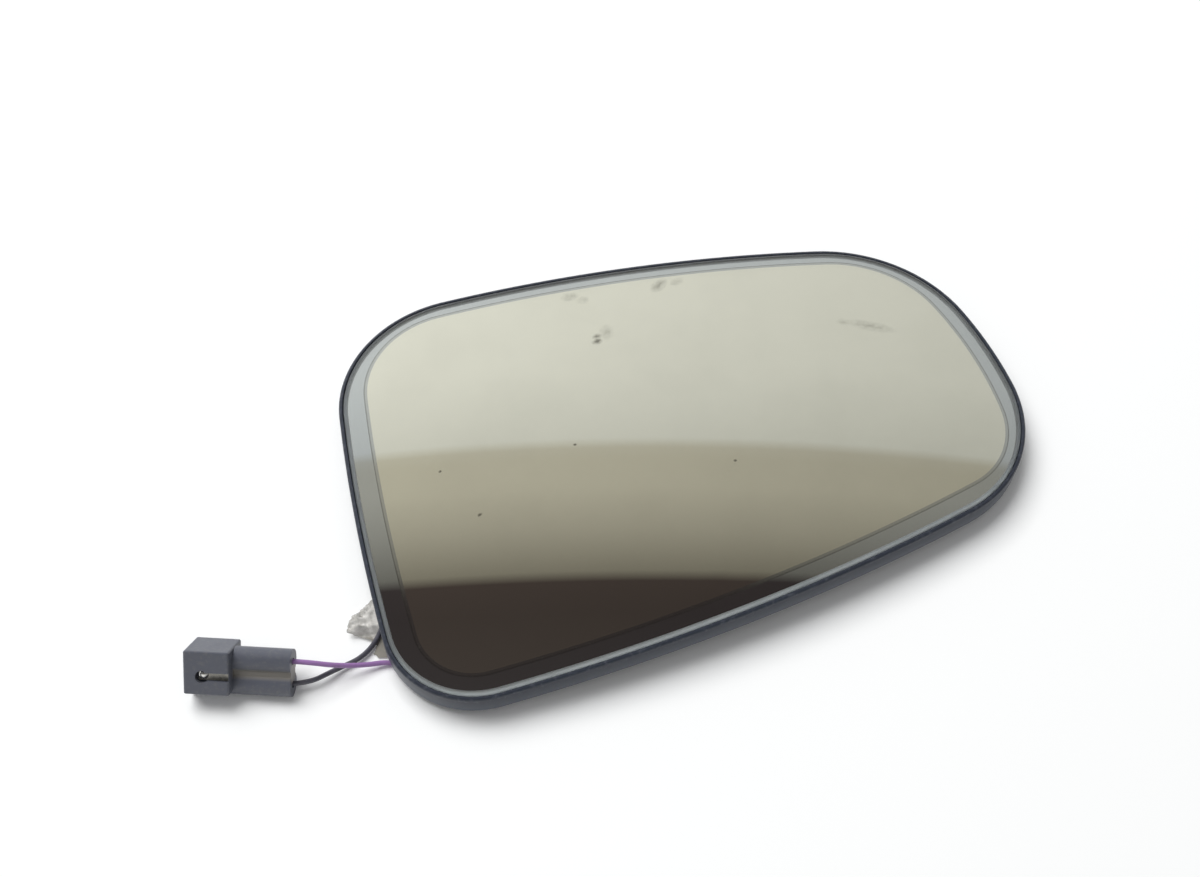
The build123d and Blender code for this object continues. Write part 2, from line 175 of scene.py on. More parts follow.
@dataclass(frozen=True)
class Finish:
    """A surface finish, which makes one procedural material.

    GLOSSIER and DULLER say how far the roughness varies below and above its own value.
    """

    GLOSSIER: ClassVar[float] = 0.0
    DULLER: ClassVar[float] = 0.0
    name: str
    colour: str
    roughness: float

    def principled(self) -> Settings:
        """Gives the shader's constant inputs."""
        return {"Base Color": linear(self.colour), "Roughness": self.roughness}

    def towards(self, tree: Tree, other: str, share: Socket) -> Socket:
        """Blends the finish's colour with another.

        Args:
            tree: The material's node tree.
            other: The other colour.
            share: How much of it shows.

        Returns:
            The blended colour.
        """
        colours = {"data_type": "RGBA", MIX_A: linear(self.colour), MIX_B: linear(other)}
        return add_node(tree, "ShaderNodeMix", colours, {"Factor": share}).outputs[MIX_RESULT]

    def gloss(self) -> Span:
        """Gives the lowest and the highest roughness."""
        return (self.roughness - self.GLOSSIER, self.roughness + self.DULLER)

    def pattern(self, tree: Tree, place: Socket) -> Links:
        """Makes what varies over the surface.

        Args:
            tree: The material's node tree.
            place: Object coordinates.

        Returns:
            The shader's inputs with the sockets that feed them.
        """
        return {}

    def material(self) -> bpy.types.Material:
        """Gives the material, made on its first use.

        Returns:
            The material, under the finish's name.
        """
        found = bpy.data.materials.get(self.name)
        if found is not None:
            return found
        made = bpy.data.materials.new(self.name)
        made.use_nodes = True
        tree = made.node_tree
        tree.nodes.clear()
        place = add_node(tree, "ShaderNodeTexCoord").outputs["Object"]
        links = self.pattern(tree, place)
        shader = add_node(tree, "ShaderNodeBsdfPrincipled", self.principled(), links)
        add_node(tree, "ShaderNodeOutputMaterial", links={"Surface": shader.outputs["BSDF"]})
        return made


@dataclass(frozen=True)
class PaintedStreak:
    """A pale streak painted as a highlight along a level axis: how far from the axis it ends and where it is
    full.
    """

    axis: Point
    turn: float
    reaches: Span
    amount: float


@dataclass(frozen=True)
class MouldedPlastic(Finish):
    """Satin moulded plastic: a spark-eroded grain, cloudy tone, a thin, uneven film of dust, and, where
    given, painted light: a paler low wall and a pale streak along an axis.

    The real grain is under 0.1 mm wide. It is drawn at some tenths of a millimetre, so that it shows.
    """

    GLOSSIER: ClassVar[float] = 0.06
    DULLER: ClassVar[float] = 0.08
    SPECK_GRAINS: ClassVar[float] = 3.0
    tone: str
    grain: float
    grain_depth: float
    cloud: float
    dust_and_sheen: str
    dust_amount: float
    # Heights at which the painted bounce light from the table begins and is full.
    bounce_heights: Span | None = None
    bounce_amount: float = 0.6
    painted_streak: PaintedStreak | None = None

    def pattern(self, tree: Tree, place: Socket) -> Links:
        """Makes the tone, the dust with the painted light, the gloss that varies with the tone, and the
        grain.

        Args:
            tree: The material's node tree.
            place: Object coordinates.

        Returns:
            The shader's inputs with the sockets that feed them.
        """
        clouds = mottle(tree, place, self.cloud, 5.0, 0.6)
        tones = self.towards(tree, self.tone, clouds)
        specks = mottle(tree, place, self.grain * self.SPECK_GRAINS, 3.0)
        dust_and_sheen_share = ranged(tree, specks, (0.52, 0.75), (0.0, self.dust_amount))
        # Paler low on the wall: painted bounce light from the table.
        if self.bounce_heights is not None:
            dust_and_sheen_share = self.paint_bounce(tree, place, dust_and_sheen_share)
        # A pale streak along the plug's groove: painted highlight.
        if self.painted_streak is not None:
            dust_and_sheen_share = self.paint_streak(tree, place, dust_and_sheen_share)
        dust_and_sheen_colour = add_node(
            tree, "ShaderNodeMix", {"data_type": "RGBA", MIX_B: linear(self.dust_and_sheen)},
            {"Factor": dust_and_sheen_share, MIX_A: tones},
        )
        gloss = ranged(tree, clouds, NOISE_RANGE, self.gloss())
        grain = mottle(tree, place, self.grain, 2.0)
        bump = add_node(
            tree, "ShaderNodeBump", {"Strength": 0.35, "Distance": self.grain_depth * MM}, {"Height": grain}
        )
        return {
            "Base Color": dust_and_sheen_colour.outputs[MIX_RESULT], "Roughness": gloss, "Normal": bump.outputs["Normal"]
        }

    def paint_streak(self, tree: Tree, place: Socket, dust_and_sheen_share: Socket) -> Socket:
        """Adds a pale streak along a straight groove, a painted highlight.

        Args:
            tree: The material's node tree.
            place: Object coordinates.
            dust_and_sheen_share: Amount of dust and painted light elsewhere.

        Returns:
            The amount of dust and painted light in all.
        """
        local = add_node(
            tree,
            "ShaderNodeMapping",
            {
                "vector_type": "TEXTURE",
                "Location": Vector(self.painted_streak.axis) * MM,
                "Rotation": (0.0, 0.0, math.radians(self.painted_streak.turn)),
            },
            {"Vector": place},
        )
        across = add_node(
            tree, "ShaderNodeVectorMath", {"operation": "MULTIPLY", 1: (0.0, 1.0, 1.0)}, {0: local.outputs[0]}
        )
        far = add_node(tree, "ShaderNodeVectorMath", {"operation": "LENGTH"}, {0: across.outputs[0]})
        clear, full = (reach * MM for reach in self.painted_streak.reaches)
        streak_share = ranged(tree, far.outputs["Value"], (clear, full), (0.0, self.painted_streak.amount))
        return maths(tree, "MAXIMUM", dust_and_sheen_share, streak_share)

    def paint_bounce(self, tree: Tree, place: Socket, dust_and_sheen_share: Socket) -> Socket:
        """Paints the light that the table bounces low onto a wall, by its distance from the domes' common
        centre.

        Args:
            tree: The material's node tree.
            place: Object coordinates.
            dust_and_sheen_share: Amount of dust and painted light elsewhere.

        Returns:
            The amount of dust and painted light in all.
        """
        dome = Dome()
        bounce_start, full = ((dome.curve - dome.front + height) * MM for height in self.bounce_heights)
        centre = (0.0, 0.0, (dome.front - dome.curve) * MM)
        reach = add_node(tree, "ShaderNodeVectorMath", {"operation": "DISTANCE", 1: centre}, {0: place})
        low = ranged(tree, reach.outputs["Value"], (bounce_start, full), (0.0, self.bounce_amount))
        return maths(tree, "MAXIMUM", dust_and_sheen_share, low)


@dataclass(frozen=True)
class Mark:
    """A smudge or speck on the mirror, as an ellipse about a place, in millimetres and degrees."""

    x: float
    y: float
    half_length: float
    half_width: float
    turn: float
    strength: float


@dataclass(frozen=True)
class MirrorCoating(Finish):
    """Vacuum-coated metal seen through glass: an even, tinted reflection with a few smudges and specks."""

    DULLER: ClassVar[float] = 0.1
    smear: str
    marks: tuple[Mark, ...] = ()
    # Width of the bites in a mark's edge, and of the patches of haze, with how much these dim.
    ragged: float = 1.1
    haze: float = 24.0
    haze_amount: float = 0.07

    def principled(self) -> Settings:
        """Gives the shader's constant inputs."""
        return {**super().principled(), "Metallic": 1.0}

    def pattern(self, tree: Tree, place: Socket) -> Links:
        """Makes the smudges, which dim and blur the reflection, and a faint haze.

        Args:
            tree: The material's node tree.
            place: Object coordinates.

        Returns:
            The shader's inputs with the sockets that feed them.
        """
        edge = ranged(tree, mottle(tree, place, self.ragged, 4.0, 0.65), (0.35, 0.62), (0.35, 1.0))
        haze = mottle(tree, place, self.haze, 5.0, 0.55)
        dirt = ranged(tree, haze, (0.45, 0.8), (0.0, self.haze_amount))
        for mark in self.marks:
            local = add_node(
                tree,
                "ShaderNodeMapping",
                {
                    "vector_type": "TEXTURE",
                    "Location": (mark.x * MM, mark.y * MM, 0.0),
                    "Rotation": (0.0, 0.0, math.radians(mark.turn)),
                    "Scale": (mark.half_length * MM, mark.half_width * MM, 1.0),
                },
                {"Vector": place},
            )
            spot = add_node(
                tree, "ShaderNodeTexGradient", {"gradient_type": "SPHERICAL"}, {"Vector": local.outputs[0]}
            )
            worn = maths(tree, "MULTIPLY", spot.outputs["Fac"], edge)
            shown = maths(tree, "MULTIPLY", worn, mark.strength, clamp=True)
            dirt = maths(tree, "MAXIMUM", dirt, shown)
        tint = self.towards(tree, self.smear, dirt)
        return {"Base Color": tint, "Roughness": ranged(tree, dirt, (0.0, 1.0), self.gloss())}


@dataclass(frozen=True)
class ClearGlass(Finish):
    """Float glass, ground and polished: clear, with a trace of green in its depth."""

    IOR: ClassVar[float] = 1.52

    def principled(self) -> Settings:
        """Gives the shader's constant inputs."""
        return {**super().principled(), "IOR": self.IOR, "Transmission Weight": 1.0}


@dataclass(frozen=True)
class GroundGlass(ClearGlass):
    """Glass edge ground round by a fine wheel: a pale, silky grey that scatters light and hides the depth.

    The wheel's pits are under 0.1 mm wide. They are drawn coarser, so that they show.
    """

    GLOSSIER: ClassVar[float] = 0.1
    DULLER: ClassVar[float] = 0.1
    tone: str
    grit: float
    pit_depth: float = 0.02
    # Width of the patches of uneven polish, and how much of the light passes.
    patch: float = 9.0
    clear_share: float = 0.88

    def principled(self) -> Settings:
        """Gives the shader's constant inputs."""
        return {**super().principled(), "Transmission Weight": self.clear_share}

    def pattern(self, tree: Tree, place: Socket) -> Links:
        """Makes the wheel's fine pitting and the uneven polish that it leaves.

        Args:
            tree: The material's node tree.
            place: Object coordinates.

        Returns:
            The shader's inputs with the sockets that feed them.
        """
        uneven = mottle(tree, place, self.patch, 4.0, 0.6)
        tones = self.towards(tree, self.tone, uneven)
        gloss = ranged(tree, uneven, NOISE_RANGE, self.gloss())
        pits = mottle(tree, place, self.grit, 2.0)
        bump = add_node(
            tree, "ShaderNodeBump", {"Strength": 0.25, "Distance": self.pit_depth * MM}, {"Height": pits}
        )
        return {"Base Color": tones, "Roughness": gloss, "Normal": bump.outputs["Normal"]}


@dataclass(frozen=True)
class BareMetal(Finish):
    """Tinned or spring metal: bright with soft blotches, or dull with a bright glint painted on its button.
    """

    GLOSSIER: ClassVar[float] = 0.08
    DULLER: ClassVar[float] = 0.12
    # Where the painted glint ends, in multiples of its full-bright radius.
    FADE: ClassVar[float] = 1.3
    tone: str
    blotch: float
    # How metallic it is away from the painted glint, and the glint's place and radius on the spring's button.
    bare: float = 1.0
    glint_place: Point = (0.0, 0.0, 0.0)
    worn: float = 0.0

    def principled(self) -> Settings:
        """Gives the shader's constant inputs."""
        return {**super().principled(), "Metallic": self.bare}

    def pattern(self, tree: Tree, place: Socket) -> Links:
        """Makes the blotches in gloss, and in colour too where no glint is painted.

        Args:
            tree: The material's node tree.
            place: Object coordinates.

        Returns:
            The shader's inputs with the sockets that feed them.
        """
        share = mottle(tree, place, self.blotch, 4.0)
        links = {"Roughness": ranged(tree, share, NOISE_RANGE, self.gloss())}
        # worn is the radius of a painted glint: bright and fully metallic there, dull grey beyond.
        if self.worn:
            middle = Vector(self.glint_place) * MM
            far = add_node(tree, "ShaderNodeVectorMath", {"operation": "DISTANCE", 1: middle}, {0: place})
            share = ranged(tree, far.outputs["Value"], (self.worn * MM, self.FADE * self.worn * MM))
            links["Metallic"] = ranged(tree, share, (0.0, 1.0), (1.0, self.bare))
        return {**links, "Base Color": self.towards(tree, self.tone, share)}


@dataclass(frozen=True)
class WireSheath(Finish):
    """Extruded PVC sheath: an even colour with a soft shine and a little grime from handling."""

    DULLER: ClassVar[float] = 0.2
    grime: str
    grime_amount: float = 0.5
    patch: float = 3.0

    def pattern(self, tree: Tree, place: Socket) -> Links:
        """Makes the grime and the gloss that it takes away.

        Args:
            tree: The material's node tree.
            place: Object coordinates.

        Returns:
            The shader's inputs with the sockets that feed them.
        """
        patches = mottle(tree, place, self.patch, 4.0)
        amount = ranged(tree, patches, (0.45, 0.75), (0.0, self.grime_amount))
        tones = self.towards(tree, self.grime, amount)
        gloss = ranged(tree, amount, (0.0, self.grime_amount), self.gloss())
        return {"Base Color": tones, "Roughness": gloss}


@dataclass(frozen=True)
class TornFilm(Finish):
    """Thin acetate film, crumpled and torn: greyish and see-through, with dirt caught along its torn edge."""

    dirt: str
    alpha: float
    patch: float = 1.6

    def principled(self) -> Settings:
        """Gives the shader's constant inputs."""
        return {**super().principled(), "Alpha": self.alpha}

    def pattern(self, tree: Tree, place: Socket) -> Links:
        """Makes the dirt, by the film's own UV map.

        It thickens to the torn edge, at a U of 1, and to the low end, at a V of 0.

        Args:
            tree: The material's node tree.
            place: Object coordinates.

        Returns:
            The shader's inputs with the sockets that feed them.
        """
        along = add_node(tree, "ShaderNodeUVMap", {"uv_map": FilmRemnant.UV_NAME}).outputs["UV"]
        split = add_node(tree, "ShaderNodeSeparateXYZ", links={0: along})
        scrap = ranged(tree, split.outputs["Y"], (0.45, 0.25), (0.0, 0.45))
        patches = mottle(tree, place, self.patch, 5.0, 0.7)
        gathered = maths(tree, "POWER", split.outputs["X"], 3.0)
        shown = maths(tree, "MULTIPLY_ADD", gathered, 0.3, patches)
        amount = ranged(tree, maths(tree, "ADD", shown, scrap), (0.5, 1.0), (0.0, 0.9))
        return {"Base Color": self.towards(tree, self.dirt, amount)}


@dataclass(frozen=True)
class Finishes:
    """Every finish of the part."""

    # Near-black blue-grey with a satin sheen, dust specks, and paler low on the wall: painted light bounced
    # from the table.
    rim: MouldedPlastic = MouldedPlastic(
        "moulded ASA rim", "2B2F39", 0.42, tone="333844", grain=0.35, grain_depth=0.02, cloud=14.0,
        dust_and_sheen="777C85", dust_amount=0.25, bounce_heights=(10.0, 5.6),
    )
    # Black and duller than the rim.
    carrier: MouldedPlastic = MouldedPlastic(
        "moulded ABS carrier", "1D1E21", 0.5, tone="292A2D", grain=0.5, grain_depth=0.03, cloud=20.0,
        dust_and_sheen="5B5A57", dust_amount=0.2,
    )
    # Slate grey with a satin sheen, and a pale streak along the groove between the barrels: a painted
    # highlight of the lower barrel's lit top.
    plug: MouldedPlastic = MouldedPlastic(
        "moulded PBT plug", "555862", 0.42, tone="61646E", grain=0.3, grain_depth=0.02, cloud=5.0,
        dust_and_sheen="8C877E", dust_amount=0.2, painted_streak=PaintedStreak((-110.3, -47.1, 5.175), -15.0, (3.0, 2.0), 0.8),
    )
    # Off-white, matt and finely pored.
    foam: MouldedPlastic = MouldedPlastic(
        "polyethylene foam", "C9C8C2", 0.85, tone="D8D7D2", grain=0.6, grain_depth=0.1, cloud=9.0,
        dust_and_sheen="B4B2AA", dust_amount=0.4,
    )
    # Amber with a soft gloss.
    heater: MouldedPlastic = MouldedPlastic(
        "polyimide heater film", "A9701F", 0.3, tone="B97E2C", grain=0.8, grain_depth=0.01, cloud=12.0,
        dust_and_sheen="C79A55", dust_amount=0.2,
    )
    # Pale, warm grey metal with an uneven shine.
    tinned: BareMetal = BareMetal("tinned brass", "C9C6BD", 0.32, tone="A9A59A", blotch=1.2)
    # Dull pale grey, with a glint painted bright and fully metallic on its button.
    spring: BareMetal = BareMetal(
        "dull tinned spring steel", "FBFAF6", 0.26, tone="B9B6AD", blotch=0.9, bare=0.35,
        glint_place=(-131.04, -44.92, 7.96), worn=1.05,
    )
    # Pale grey metal in broad, soft blotches.
    strip: BareMetal = BareMetal("tinned copper strip", "C4C3BF", 0.35, tone="A3A19B", blotch=2.5)
    # Clear, with only its own faint reflection.
    glass: ClearGlass = ClearGlass("polished float glass", "FBFCFB", 0.0)
    # A light, silky line round the clear plate.
    ground: GroundGlass = GroundGlass("ground float glass edge", "CBD0D4", 0.55, tone="B5BBC0", grit=0.25)
    # A sharp, warm reflection, with grey smudges and dark specks.
    mirror: MirrorCoating = MirrorCoating(
        "silver reflector behind dimming gel", "EEEDDF", 0.0, smear="8E8C80",
        marks=(
            Mark(-18.1, 38.1, 1.7, 1.2, 10.0, 1.3),
            Mark(-18.5, 36.2, 1.8, 1.3, 10.0, 1.6),
            Mark(-15.2, 39.0, 3.4, 2.4, 80.0, 0.5),
            Mark(59.4, 26.9, 8.5, 2.2, -24.0, 0.5),
            Mark(52.5, 29.6, 3.2, 1.6, -20.0, 0.4),
            Mark(-22.8, 54.9, 3.4, 2.0, 5.0, 0.6),
            Mark(-19.4, 52.9, 2.4, 2.0, 5.0, 0.4),
            Mark(3.6, 54.0, 3.8, 2.2, 40.0, 0.8),
            Mark(9.0, 54.3, 2.6, 1.7, 20.0, 0.5),
            Mark(-31.5, 2.0, 0.55, 0.45, 0.0, 3.0),
            Mark(8.9, -11.8, 0.6, 0.5, 0.0, 2.5),
            Mark(-67.9, 1.5, 0.55, 0.45, 30.0, 3.0),
            Mark(-59.6, -14.2, 0.8, 0.55, 30.0, 2.0),
            Mark(77.8, -26.6, 0.6, 0.45, 0.0, 2.0),
        ),
    )
    # Plain silver, of which only the plate's edge and back could show.
    rear: MirrorCoating = MirrorCoating("silvered rear plate", "D9DBD2", 0.05, smear="9A9A92")
    # A sharp, cool reflection that sets the ring off from the warm mirror.
    ring: MirrorCoating = MirrorCoating("chromium ring coating", "CBD0D1", 0.0, smear="9EA3A3")
    # A slightly blurred, grey reflection.
    seal: MirrorCoating = MirrorCoating("epoxy seal line", "C3C6C3", 0.05, smear="8F928E")
    # A thin line, darker than the seal: painted shade at the step between ring and seal.
    seal_painted_shade: MirrorCoating = MirrorCoating("painted shade at the seal's edge", "9FA2A0", 0.08, smear="858785")
    # Charcoal with a soft shine, paler where it is grimy.
    black_wire: WireSheath = WireSheath("black PVC sheath", "4C4C55", 0.38, grime="66646B")
    # Muted violet with a soft shine, greyer where it is grimy.
    purple_wire: WireSheath = WireSheath("purple PVC sheath", "9C76AE", 0.38, grime="8A7393")
    # Whitish and half see-through, grey-brown where dirt clings.
    film: TornFilm = TornFilm("crumpled acetate film", "F6F4F0", 0.35, dirt="8E897E", alpha=0.6)


@dataclass(frozen=True)
class PhotoCamera:
    """Camera that looks down on the mirror from in front of its lower edge."""

    place: Point = (-65.76, -197.65, 291.89)
    pitch: float = 54.0
    turn: float = 11.62
    lens: float = 39.0
    sensor: float = 36.0
    nearest: float = 10.0

    def build(self) -> None:
        """Makes the camera and gives it to the scene."""
        data = bpy.data.cameras.new("photo_camera")
        data.lens = self.lens
        data.sensor_width = self.sensor
        data.clip_start = self.nearest * MM
        camera = bpy.data.objects.new("photo_camera", data)
        camera.location = Vector(self.place) * MM
        camera.rotation_euler = (math.radians(90.0 - self.pitch), 0.0, -math.radians(self.turn))
        bpy.context.scene.collection.objects.link(camera)
        bpy.context.scene.camera = camera


@dataclass(frozen=True)
class Lead:
    """One wire of the lead, from its ferrule behind the rim to its contact in the plug."""

    name: str
    node: str
    slot: Slot
    finish: WireSheath
    route: tuple[Point, ...]
    length: float
    goes_with: tuple[str, ...]
    diameter: float = 1.25
    round_steps: int = 5
    line_steps: int = 12

    def build(self) -> bpy.types.Object:
        """Makes the wire as a smooth line that its route's points control.

        Returns:
            The wire's curve object.
        """
        curve = bpy.data.curves.new(self.name, "CURVE")
        curve.dimensions = "3D"
        curve.bevel_depth = self.diameter / 2 * MM
        curve.bevel_resolution = self.round_steps
        curve.use_fill_caps = True
        spline = curve.splines.new("NURBS")
        spline.points.add(len(self.route) - 1)
        for point, place in zip(spline.points, self.route):
            point.co = (*(c * MM for c in place), 1.0)
        spline.order_u = 3
        spline.use_endpoint_u = True
        spline.resolution_u = self.line_steps
        wire = bpy.data.objects.new(self.name, curve)
        bpy.context.scene.collection.objects.link(wire)
        curve.materials.append(self.finish.material())
        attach(wire, BODY)
        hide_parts(self.node)
        return wire


@dataclass(frozen=True)
class Harness:
    """The two leads between the glass and the plug, on the routes of the part's solids."""

    black_route: tuple[Point, ...] = (
        (-87.1, -20.46, 2.25), (-87.0, -24.4, 1.35), (-87.0, -30.0, 0.8), (-88.3, -37.9, 1.15),
        (-93.3, -44.1, 1.15), (-100.4, -46.2, 1.3), (-108.11, -49.75, 3.0), (-114.68, -47.99, 3.0),
    )
    black_length: float = 47.03
    purple_route: tuple[Point, ...] = (
        (-56.98, -60.46, 2.75), (-62.5, -60.7, 2.4), (-71.0, -58.2, 1.6), (-79.0, -52.0, 1.0),
        (-86.6, -46.6, 0.78), (-93.6, -46.9, 2.0), (-100.1, -47.0, 4.6), (-107.08, -45.9, 7.35),
        (-113.65, -44.14, 7.35),
    )
    purple_length: float = 61.11

    def build(self, finishes: Finishes) -> list[bpy.types.Object]:
        """Makes both leads.

        Args:
            finishes: The part's finishes.

        Returns:
            The black and the purple lead.
        """
        black = Lead(
            "black_lead", "black_wire", Slot.BLACK_WIRE, finishes.black_wire,
            self.black_route, self.black_length, ("contact_black",),
        )
        purple = Lead(
            "purple_lead", "purple_wire", Slot.PURPLE_WIRE, finishes.purple_wire,
            self.purple_route, self.purple_length, ("plug_housing", "plug_spring", "contact_purple"),
        )
        return [black.build(), purple.build()]


def finish_piece(
    bm: bmesh.types.BMesh, name: str, finishes: Sequence[Finish], nodes: Sequence[str]
) -> bpy.types.Object:
    """Turns a bmesh in millimetres into a dressed piece that rides on the part.

    Args:
        bm: The piece, which is freed.
        name: Name of the piece.
        finishes: Its finishes, in the order of its faces' material numbers.
        nodes: CAD nodes that it stands for.

    Returns:
        The new object.
    """
    bmesh.ops.scale(bm, vec=(MM, MM, MM), verts=bm.verts)
    mesh = bpy.data.meshes.new(name)
    bm.to_mesh(mesh)
    bm.free()
    for finish in finishes:
        mesh.materials.append(finish.material())
    piece = bpy.data.objects.new(name, mesh)
    bpy.context.scene.collection.objects.link(piece)
    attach(piece, BODY)
    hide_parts(*nodes)
    return piece


@dataclass(frozen=True)
class Arc:
    """One arc of an outline, counter-clockwise, in millimetres and radians."""

    FEWEST_STEPS: ClassVar[int] = 3
    centre: Vector
    radius: float
    start: float
    sweep: float

    def steps(self, length: float) -> int:
        """Gives how many steps of about this length the arc takes."""
        return max(self.FEWEST_STEPS, math.ceil(self.radius * self.sweep / length))


@dataclass(frozen=True)
class Side:
    """One large arc of the rim: where its crown lies, and the corner that follows it counter-clockwise."""

    reach: float
    facing: float
    radius: float
    corner: float

    def way(self) -> Vector:
        """Gives the direction of the crown."""
        return Vector((math.cos(math.radians(self.facing)), math.sin(math.radians(self.facing))))

    def centre(self) -> Vector:
        """Gives the arc's centre."""
        return self.way() * (self.reach - self.radius)


@dataclass(frozen=True)
class RimOutline:
    """Outline of the rim: outer side, top, inner side and bottom, with a rounded corner after each."""

    sides: tuple[Side, ...] = (
        Side(92.2, 5.7, 125.0, 41.6),
        Side(63.0, 88.2, 578.0, 35.7),
        Side(91.8, 183.3, 585.0, 24.3),
        Side(55.0, 282.6, 524.0, 39.6),
    )

    def arcs(self, insets: Sequence[float], corners: Sequence[float]) -> list[Arc]:
        """Gives the outline, moved in by its own amount on each side.

        Args:
            insets: How far each side moves in.
            corners: Radius of the corner after each side.

        Returns:
            Arcs of the sides, each with its corner after it.
        """
        count = len(self.sides)
        centres = []
        for k, side in enumerate(self.sides):
            after = self.sides[(k + 1) % count]
            radius = corners[k]
            near = side.radius - insets[k] - radius
            far = after.radius - insets[(k + 1) % count] - radius
            gap = after.centre() - side.centre()
            along = (gap.length_squared + near**2 - far**2) / (2 * gap.length)
            across = math.sqrt(near**2 - along**2)
            normal = Vector((-gap.y, gap.x)).normalized()
            if normal.dot(side.way() + after.way()) < 0:
                normal = -normal
            centres.append(side.centre() + gap.normalized() * along + normal * across)
        found = []
        for k, side in enumerate(self.sides):
            after = self.sides[(k + 1) % count]
            begin = self.heading(centres[k - 1] - side.centre())
            turn = self.heading(centres[k] - side.centre())
            end = self.heading(centres[k] - after.centre())
            found.append(Arc(side.centre(), side.radius - insets[k], begin, (turn - begin) % math.tau))
            found.append(Arc(centres[k], corners[k], turn, (end - turn) % math.tau))
        return found

    def even(self, inset: float) -> list[Arc]:
        """Gives the outline, moved in by the same amount all round."""
        return self.arcs((inset,) * len(self.sides), [side.corner - inset for side in self.sides])

    @staticmethod
    def heading(way: Vector) -> float:
        """Gives a direction's angle."""
        return math.atan2(way.y, way.x)


@dataclass(frozen=True)
class Dome:
    """Concentric domes that every layer of the glass follows.

    A face lies on a dome where its normal's upright part is above flat_enough.
    """

    curve: float = 1400.0
    front: float = 11.6
    flat_enough: float = 0.992

    def lay(self, bm: bmesh.types.BMesh) -> None:
        """Moves points from their heights over the collar's axis down onto the domes.

        Args:
            bm: The mesh, in millimetres.
        """
        base = self.front - self.curve
        for vert in bm.verts:
            radius = vert.co.z - base
            vert.co.z = base + math.sqrt(radius**2 - vert.co.x**2 - vert.co.y**2)

    def smooth(self, piece: bpy.types.Object) -> None:
        """Gives the faces that lie on a dome its exact normals, so that the reflection has no ripples.

        Args:
            piece: A piece of the cell.
        """
        middle = Vector((0.0, 0.0, (self.front - self.curve) * MM))
        mesh = piece.data
        normals = [(0.0, 0.0, 0.0)] * len(mesh.loops)
        for face in mesh.polygons:
            face.use_smooth = True
            if abs(face.normal.z) < self.flat_enough:
                continue
            for k in face.loop_indices:
                out = (mesh.vertices[mesh.loops[k].vertex_index].co - middle).normalized()
                normals[k] = tuple(out if face.normal.z > 0 else -out)
        mesh.normals_split_custom_set(normals)


